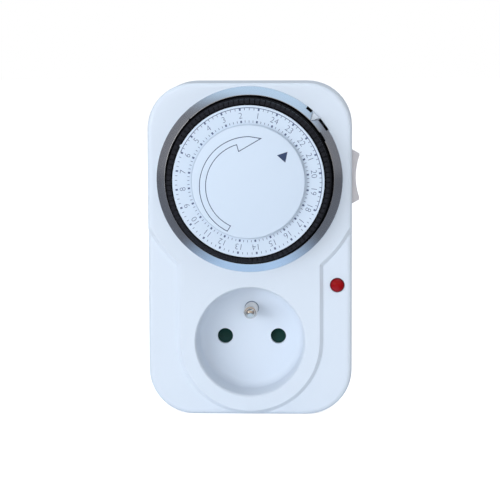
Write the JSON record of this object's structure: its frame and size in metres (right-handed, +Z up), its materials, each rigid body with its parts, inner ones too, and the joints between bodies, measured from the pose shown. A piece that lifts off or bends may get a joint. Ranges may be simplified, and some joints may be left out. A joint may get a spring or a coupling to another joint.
{
  "type": "plug-in timer switch",
  "caption": "Plug-in mechanical timer switch: plug behind, earthed socket in front, a dial of push tappets above, a rocker at the side and a pilot lamp.",
  "frame": {"origin": "centre between the two plug pins, on the plug's end face", "axes": "+Z up, +Y along the plug pins into the wall, so the dial and the socket face -Y; +X to the right as the user looks at the dial"},
  "size_m": [0.0742, 0.08, 0.1169],
  "materials": {
    "white_shell": "satin",
    "dial_white": "satin",
    "tappet_black": "satin",
    "trim_metal": "polished",
    "nickel": "polished",
    "brass": "satin",
    "steel": "satin",
    "shutter_green": "satin",
    "inner_plastic": "satin",
    "dark_plastic": "satin",
    "gear_plastic": "satin",
    "wire_red": "satin",
    "lamp_orange": "gloss",
    "lens_red": "gloss",
    "rocker_grey": "satin"
  },
  "bodies": {
    "case": {"front_case": "white_shell", "rear_case": "white_shell", "case_screws": "steel", "small_screws": "steel", "plug_pin_line": "nickel", "plug_pin_neutral": "nickel", "plug_earth_clips": "nickel", "plug_earth_socket": "brass", "socket_earth_pin": "nickel", "shutter_spring": "steel", "contact_carrier": "inner_plastic", "line_contact": "brass", "neutral_contact": "brass", "line_bar": "brass", "switched_bar": "brass", "leads": "wire_red", "movement_plate": "inner_plastic", "motor": "steel", "centre_disc": "dial_white", "bezel": "trim_metal", "microswitch": "dark_plastic", "rocker_base": "dark_plastic", "rocker_contacts": "brass", "pilot_lens": "lens_red", "pilot_lamp": "lamp_orange"},
    "dial": {"dial_gear": "gear_plastic", "dial_carrier": "dial_white", "tappet_guide": "tappet_black", "number_ring": "dial_white"},
    "idler": {"idler_gear": "gear_plastic"},
    "motor_drive": {"motor_pinion": "brass"},
    "shutter_slider": {"shutter": "shutter_green"},
    "follower_lever": {"follower": "gear_plastic"},
    "button": {"switch_button": "wire_red"},
    "rocker_key": {"rocker": "rocker_grey"},
    "contact_bridge": {"rocker_bridge": "brass"},
    "hour_1": {"tappets_1": "tappet_black"},
    "hour_2": {"tappets_2": "tappet_black"},
    "hour_3": {"tappets_3": "tappet_black"},
    "hour_4": {"tappets_4": "tappet_black"},
    "hour_5": {"tappets_5": "tappet_black"},
    "hour_6": {"tappets_6": "tappet_black"},
    "hour_7": {"tappets_7": "tappet_black"},
    "hour_8": {"tappets_8": "tappet_black"},
    "hour_9": {"tappets_9": "tappet_black"},
    "hour_10": {"tappets_10": "tappet_black"},
    "hour_11": {"tappets_11": "tappet_black"},
    "hour_12": {"tappets_12": "tappet_black"},
    "hour_13": {"tappets_13": "tappet_black"},
    "hour_14": {"tappets_14": "tappet_black"},
    "hour_15": {"tappets_15": "tappet_black"},
    "hour_16": {"tappets_16": "tappet_black"},
    "hour_17": {"tappets_17": "tappet_black"},
    "hour_18": {"tappets_18": "tappet_black"},
    "hour_19": {"tappets_19": "tappet_black"},
    "hour_20": {"tappets_20": "tappet_black"},
    "hour_21": {"tappets_21": "tappet_black"},
    "hour_22": {"tappets_22": "tappet_black"},
    "hour_23": {"tappets_23": "tappet_black"},
    "hour_24": {"tappets_24": "tappet_black"}
  },
  "joints": [
    {"name": "dial_spin", "type": "hinge", "parent": "case", "child": "dial", "pos_m": [0, -0.05, 0.05725], "axis": [0, 1, 0], "continuous": true},
    {"name": "idler_spin", "type": "hinge", "parent": "case", "child": "idler", "pos_m": [-0.00924, -0.0385, 0.03188], "axis": [0, 1, 0], "continuous": true},
    {"name": "motor_spin", "type": "hinge", "parent": "case", "child": "motor_drive", "pos_m": [-0.00513, -0.036, 0.04315], "axis": [0, 1, 0], "continuous": true},
    {"name": "tappets_1_push", "type": "slide", "parent": "dial", "child": "hour_1", "axis": [0, 1, 0], "range_m": [0, 0.003]},
    {"name": "tappets_2_push", "type": "slide", "parent": "dial", "child": "hour_2", "axis": [0, 1, 0], "range_m": [0, 0.003]},
    {"name": "tappets_3_push", "type": "slide", "parent": "dial", "child": "hour_3", "axis": [0, 1, 0], "range_m": [0, 0.003]},
    {"name": "tappets_4_push", "type": "slide", "parent": "dial", "child": "hour_4", "axis": [0, 1, 0], "range_m": [0, 0.003]},
    {"name": "tappets_5_push", "type": "slide", "parent": "dial", "child": "hour_5", "axis": [0, 1, 0], "range_m": [0, 0.003]},
    {"name": "tappets_6_push", "type": "slide", "parent": "dial", "child": "hour_6", "axis": [0, 1, 0], "range_m": [0, 0.003]},
    {"name": "tappets_7_push", "type": "slide", "parent": "dial", "child": "hour_7", "axis": [0, 1, 0], "range_m": [0, 0.003]},
    {"name": "tappets_8_push", "type": "slide", "parent": "dial", "child": "hour_8", "axis": [0, 1, 0], "range_m": [0, 0.003]},
    {"name": "tappets_9_push", "type": "slide", "parent": "dial", "child": "hour_9", "axis": [0, 1, 0], "range_m": [0, 0.003]},
    {"name": "tappets_10_push", "type": "slide", "parent": "dial", "child": "hour_10", "axis": [0, 1, 0], "range_m": [0, 0.003]},
    {"name": "tappets_11_push", "type": "slide", "parent": "dial", "child": "hour_11", "axis": [0, 1, 0], "range_m": [0, 0.003]},
    {"name": "tappets_12_push", "type": "slide", "parent": "dial", "child": "hour_12", "axis": [0, 1, 0], "range_m": [0, 0.003]},
    {"name": "tappets_13_push", "type": "slide", "parent": "dial", "child": "hour_13", "axis": [0, 1, 0], "range_m": [0, 0.003]},
    {"name": "tappets_14_push", "type": "slide", "parent": "dial", "child": "hour_14", "axis": [0, 1, 0], "range_m": [0, 0.003]},
    {"name": "tappets_15_push", "type": "slide", "parent": "dial", "child": "hour_15", "axis": [0, 1, 0], "range_m": [0, 0.003]},
    {"name": "tappets_16_push", "type": "slide", "parent": "dial", "child": "hour_16", "axis": [0, 1, 0], "range_m": [0, 0.003]},
    {"name": "tappets_17_push", "type": "slide", "parent": "dial", "child": "hour_17", "axis": [0, 1, 0], "range_m": [0, 0.003]},
    {"name": "tappets_18_push", "type": "slide", "parent": "dial", "child": "hour_18", "axis": [0, 1, 0], "range_m": [0, 0.003]},
    {"name": "tappets_19_push", "type": "slide", "parent": "dial", "child": "hour_19", "axis": [0, 1, 0], "range_m": [0, 0.003]},
    {"name": "tappets_20_push", "type": "slide", "parent": "dial", "child": "hour_20", "axis": [0, 1, 0], "range_m": [0, 0.003]},
    {"name": "tappets_21_push", "type": "slide", "parent": "dial", "child": "hour_21", "axis": [0, 1, 0], "range_m": [0, 0.003]},
    {"name": "tappets_22_push", "type": "slide", "parent": "dial", "child": "hour_22", "axis": [0, 1, 0], "range_m": [0, 0.003]},
    {"name": "tappets_23_push", "type": "slide", "parent": "dial", "child": "hour_23", "axis": [0, 1, 0], "range_m": [0, 0.003]},
    {"name": "tappets_24_push", "type": "slide", "parent": "dial", "child": "hour_24", "axis": [0, 1, 0], "range_m": [0, 0.003]},
    {"name": "follower_tilt", "type": "hinge", "parent": "case", "child": "follower_lever", "pos_m": [0.02734, -0.0405, 0.08365], "axis": [0.6947, 0, -0.7193], "range_deg": [0, 12.01]},
    {"name": "switch_press", "type": "slide", "parent": "case", "child": "button", "axis": [0, 1, 0], "range_m": [0, 0.00115], "stiffness_N_per_m": 100, "springref_m": -0.001},
    {"name": "rocker_tilt", "type": "hinge", "parent": "case", "child": "rocker_key", "pos_m": [0.031, -0.0335, 0.05725], "axis": [0, -1, 0], "range_deg": [-8, 8]},
    {"name": "bridge_tilt", "type": "hinge", "parent": "case", "child": "contact_bridge", "pos_m": [0.02845, -0.0335, 0.05725], "axis": [0, -1, 0], "range_deg": [-3.51, 3.51]},
    {"name": "shutter_open", "type": "slide", "parent": "case", "child": "shutter_slider", "axis": [0, 0, -1], "range_m": [0, 0.006], "stiffness_N_per_m": 80, "springref_m": -0.005, "deforming": ["shutter_spring"]}
  ],
  "couplings": [
    {"joint": "idler_spin", "follows": "dial_spin", "ratio": -8},
    {"joint": "motor_spin", "follows": "dial_spin", "ratio": 24},
    {"joint": "follower_tilt", "follows": "tappets_23_push", "rad_per_m": 69.813},
    {"joint": "switch_press", "follows": "tappets_23_push", "ratio": 0.38333},
    {"joint": "bridge_tilt", "follows": "rocker_tilt", "ratio": -0.4375}
  ]
}
